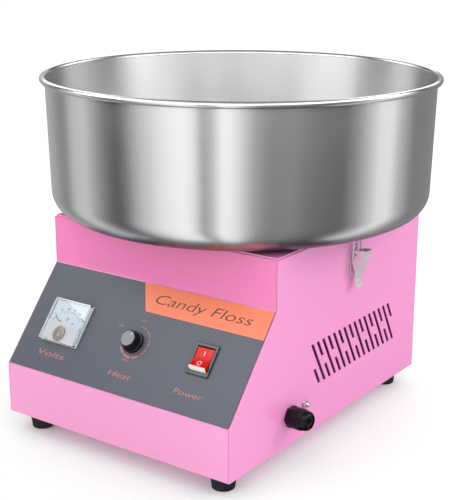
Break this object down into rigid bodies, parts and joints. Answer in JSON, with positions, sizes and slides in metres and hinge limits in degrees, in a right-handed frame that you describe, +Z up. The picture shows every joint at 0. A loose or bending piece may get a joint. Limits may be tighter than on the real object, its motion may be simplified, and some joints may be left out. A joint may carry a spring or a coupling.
{
  "type": "cotton candy machine",
  "caption": "Table-top cotton candy machine: sheet-steel housing with sloped control panel, lift-off stainless bowl held by toggle latches, and an electric spinning sugar head.",
  "frame": {"origin": "on the floor, at the middle of the machine's outline seen from above", "axes": "+Z up, front with the control panel facing -Y, +X towards the side with the cable gland"},
  "size_m": [0.5192, 0.5287, 0.4489],
  "materials": {
    "housing": "satin-gloss powder coat",
    "foot": "matt moulded rubber",
    "overlay": "printed satin film",
    "meter_body": "moulded, matt",
    "dial": "printed card",
    "window": "clear polished acrylic",
    "needle": "matt black",
    "plated": "bright zinc or nickel plate",
    "knob": "moulded, satin",
    "knob_cap": "satin",
    "black_nylon": "moulded nylon, satin",
    "rocker": "translucent, polished",
    "seal": "soft, matt",
    "stainless": "satin polished",
    "bowl_seat": "silicone, matt",
    "cast_aluminium": "spun and cast",
    "heater": "oxidised ribbon",
    "motor": "black enamel",
    "copper": "turned copper",
    "carbon": "pressed carbon",
    "board": "solder mask",
    "terminal": "moulded"
  },
  "bodies": {
    "housing": {"side_panel_left": "housing", "side_panel_right": "housing", "front_casing": "housing", "rear_panel": "housing", "top_deck": "housing", "base_plate": "housing", "foot_front_left": "foot", "foot_front_right": "foot", "foot_rear_left": "foot", "foot_rear_right": "foot", "control_overlay": "overlay", "meter_case": "meter_body", "meter_zero_screw": "meter_body", "meter_dial": "dial", "meter_cover": "window", "pot_body": "plated", "earth_screw": "plated", "earth_nut": "plated", "latch_base_left": "plated", "latch_base_right": "plated", "latch_pin_left": "plated", "latch_pin_right": "plated", "motor_bracket": "plated", "bearing_lower": "plated", "bearing_upper": "plated", "switch_housing": "black_nylon", "gland_body": "black_nylon", "gland_locknut": "black_nylon", "gland_dome_nut": "black_nylon", "brush_holder": "black_nylon", "gland_seal": "seal", "bowl_seat": "bowl_seat", "motor": "motor", "carbon_brush_lower": "carbon", "carbon_brush_upper": "carbon", "heat_control_board": "board", "terminal_block": "terminal"},
    "spinner": {"drive_shaft": "plated", "slip_ring_drum": "black_nylon", "slip_ring_lower": "copper", "slip_ring_upper": "copper", "cooling_fan": "black_nylon", "head_dish": "cast_aluminium", "head_nut": "plated", "heater_ring": "heater", "perforated_band": "stainless", "head_cover": "cast_aluminium"},
    "bowl": {"bowl": "stainless", "bowl_catch_left": "stainless", "bowl_catch_right": "stainless"},
    "heat_knob": {"knob": "knob", "knob_cap": "knob_cap", "pot_shaft": "plated"},
    "power_rocker": {"switch_rocker": "rocker"},
    "needle": {"meter_needle": "needle"},
    "lever_right": {"latch_lever_right": "plated"},
    "bail_right": {"latch_bail_right": "plated"},
    "lever_left": {"latch_lever_left": "plated"},
    "bail_left": {"latch_bail_left": "plated"}
  },
  "joints": [
    {"name": "spinner_spin", "type": "hinge", "parent": "housing", "child": "spinner", "pos_m": [0, 0.0045, 0.284], "axis": [0, 0, 1], "continuous": true},
    {"name": "bowl_lift", "type": "slide", "parent": "housing", "child": "bowl", "axis": [0, 0, 1], "range_m": [0, 0.17]},
    {"name": "heat_knob_turn", "type": "hinge", "parent": "housing", "child": "heat_knob", "pos_m": [0.0006, -0.22431, 0.14582], "axis": [0, -0.7668, 0.6418], "range_deg": [-210, 78]},
    {"name": "power_switch", "type": "hinge", "parent": "housing", "child": "power_rocker", "pos_m": [0.1057, -0.2188, 0.14304], "axis": [1, 0, 0], "range_deg": [0, 22]},
    {"name": "meter_needle_swing", "type": "hinge", "parent": "housing", "child": "needle", "pos_m": [-0.109, -0.23111, 0.13769], "axis": [0, -0.7668, 0.6418], "range_deg": [-98, 0], "stiffness_Nm_per_rad": 0.0002, "springref_deg": 17.19},
    {"name": "latch_right", "type": "hinge", "parent": "housing", "child": "lever_right", "pos_m": [0.183, 0.0045, 0.234], "axis": [0, -1, 0], "range_deg": [0, 80]},
    {"name": "bail_right_swing", "type": "hinge", "parent": "lever_right", "child": "bail_right", "pos_m": [0.1796, 0.0045, 0.2285], "axis": [0, -1, 0], "range_deg": [-120, 0]},
    {"name": "latch_left", "type": "hinge", "parent": "housing", "child": "lever_left", "pos_m": [-0.183, 0.0045, 0.234], "axis": [0, 1, 0], "range_deg": [0, 80]},
    {"name": "bail_left_swing", "type": "hinge", "parent": "lever_left", "child": "bail_left", "pos_m": [-0.1796, 0.0045, 0.2285], "axis": [0, 1, 0], "range_deg": [-120, 0]}
  ],
  "couplings": [
    {"joint": "bail_right_swing", "follows": "latch_right", "ratio": -1.5},
    {"joint": "bail_left_swing", "follows": "latch_left", "ratio": -1.5}
  ]
}
